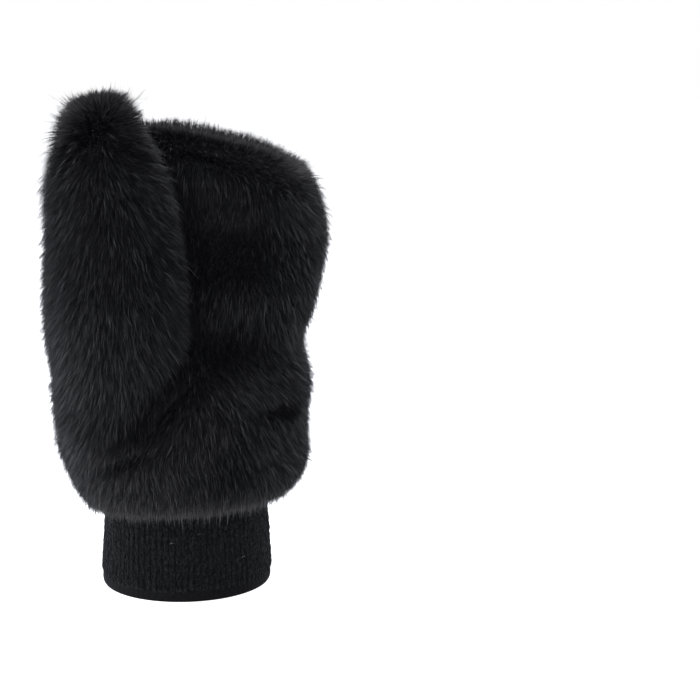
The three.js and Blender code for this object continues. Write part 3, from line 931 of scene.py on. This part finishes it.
def cuff_fuzz(material, rng):
    """Short loose fibres that stand off the knit."""
    angle = rng.uniform(0, 2 * np.pi, FUZZ_COUNT)
    z = rng.uniform(HEM_BAND, CUFF_HEIGHT - 8, FUZZ_COUNT)
    roots = cuff_surface(angle, z, np.full(FUZZ_COUNT, -0.25))
    out = unit(np.stack([np.cos(angle), np.sin(angle), np.zeros(FUZZ_COUNT)], -1))
    lay = unit(rng.standard_normal((FUZZ_COUNT, 3)))
    length = rng.uniform(0.5, 1.3, FUZZ_COUNT)[:, None, None]
    t = np.linspace(0, 1, 3)[None, :, None]
    curves = (roots[:, None] + length * (out[:, None] * t * 0.8 + lay[:, None] * t * t * 0.8))
    curves[:, :, 2] = np.maximum(curves[:, :, 2], 0.1)
    points, quads, tris, _, cells = ribbons(curves, out, 0.0, FUZZ, rng)
    piece = make_piece("cuff_fuzz", points, quads, tris, material, None, cells)
    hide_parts("rib_cuff")


def cuff_lint(material, rng):
    """A few pale fibres that lie on the knit."""
    turns = np.radians([place[0] for place in LINT_PLACES])
    heights = np.array([place[1] for place in LINT_PLACES], dtype=float)
    t = np.linspace(0, 1, 5)
    curves = []
    for turn, height in zip(turns, heights):
        bow = 0.8 * np.sin(np.pi * t)
        reach = turn + (t - 0.5) * 2.0 / 30
        curves.append(cuff_surface(reach, height + 0.5 * bow, 0.25 + 0.2 * bow))
    curves = np.array(curves)
    out = np.stack([np.cos(turns), np.sin(turns), np.zeros(len(turns))], -1)
    points, quads, tris, _, cells = ribbons(curves, out, 0.0, LINT, rng)
    piece = make_piece("cuff_lint", points, quads, tris, material, None, cells)
    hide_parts("rib_cuff")


def build_cuff():
    yarn = yarn_material()
    cuff_knit(yarn, shaded_edge_material())
    cuff_stitches(yarn)
    rng = np.random.default_rng(SEED + 6)
    cuff_fuzz(yarn, rng)
    cuff_lint(lint_material(), rng)


# Stage, light and camera

def aim_at(thing, place, aim):
    """Place a lamp or camera and turn it to a point."""
    thing.location = place
    thing.rotation_euler = (Vector(aim) - Vector(place)).to_track_quat("-Z", "Y").to_euler()
    bpy.context.collection.objects.link(thing)


def area_light(name, place, size, power):
    light = bpy.data.lights.new(name, "AREA")
    light.shape = "RECTANGLE"
    light.size, light.size_y = size
    light.energy = power
    light.color = LIGHT_COLOUR
    aim_at(bpy.data.objects.new(name, light), place, LIGHT_AIM)


def build_floor():
    half = FLOOR_HALF
    mesh = bpy.data.meshes.new("floor")
    corners = [(-half, -half, 0), (half, -half, 0), (half, half, 0), (-half, half, 0)]
    mesh.from_pydata(corners, [], [(0, 1, 2, 3)])
    mesh.materials.append(floor_material())
    floor = bpy.data.objects.new("floor", mesh)
    bpy.context.collection.objects.link(floor)


def build_world():
    """The camera sees plain white, and the glove is lit by a dim bluish sky."""
    world = bpy.data.worlds.new("studio")
    bpy.context.scene.world = world
    world.use_nodes = True
    nodes, links = world.node_tree.nodes, world.node_tree.links
    seen = nodes["Background"]
    seen.inputs["Color"].default_value = (1.0, 1.0, 1.0, 1.0)
    seen.inputs["Strength"].default_value = 1.0
    felt = nodes.new("ShaderNodeBackground")
    felt.inputs["Color"].default_value = SKY_COLOUR
    felt.inputs["Strength"].default_value = SKY_STRENGTH
    rays = nodes.new("ShaderNodeLightPath")
    mix = nodes.new("ShaderNodeMixShader")
    links.new(rays.outputs["Is Camera Ray"], mix.inputs["Fac"])
    links.new(felt.outputs["Background"], mix.inputs[1])
    links.new(seen.outputs["Background"], mix.inputs[2])
    links.new(mix.outputs["Shader"], nodes["World Output"].inputs["Surface"])


def build_camera():
    camera = bpy.data.cameras.new("camera")
    camera.sensor_width = SENSOR_MM
    camera.lens = SENSOR_MM * FOCAL_PX / PHOTO_SIDE_PX
    camera.clip_start = 0.01
    eye = bpy.data.objects.new("camera", camera)
    aim_at(eye, CAMERA_PLACE, CAMERA_AIM)
    bpy.context.scene.camera = eye
    bpy.context.scene.view_settings.view_transform = "Standard"
    bpy.context.scene.view_settings.look = "None"


build_camera()
build_floor()
build_world()
for light_row in LIGHTS:
    area_light(*light_row)
build_fur()
build_lining()
build_cuff()
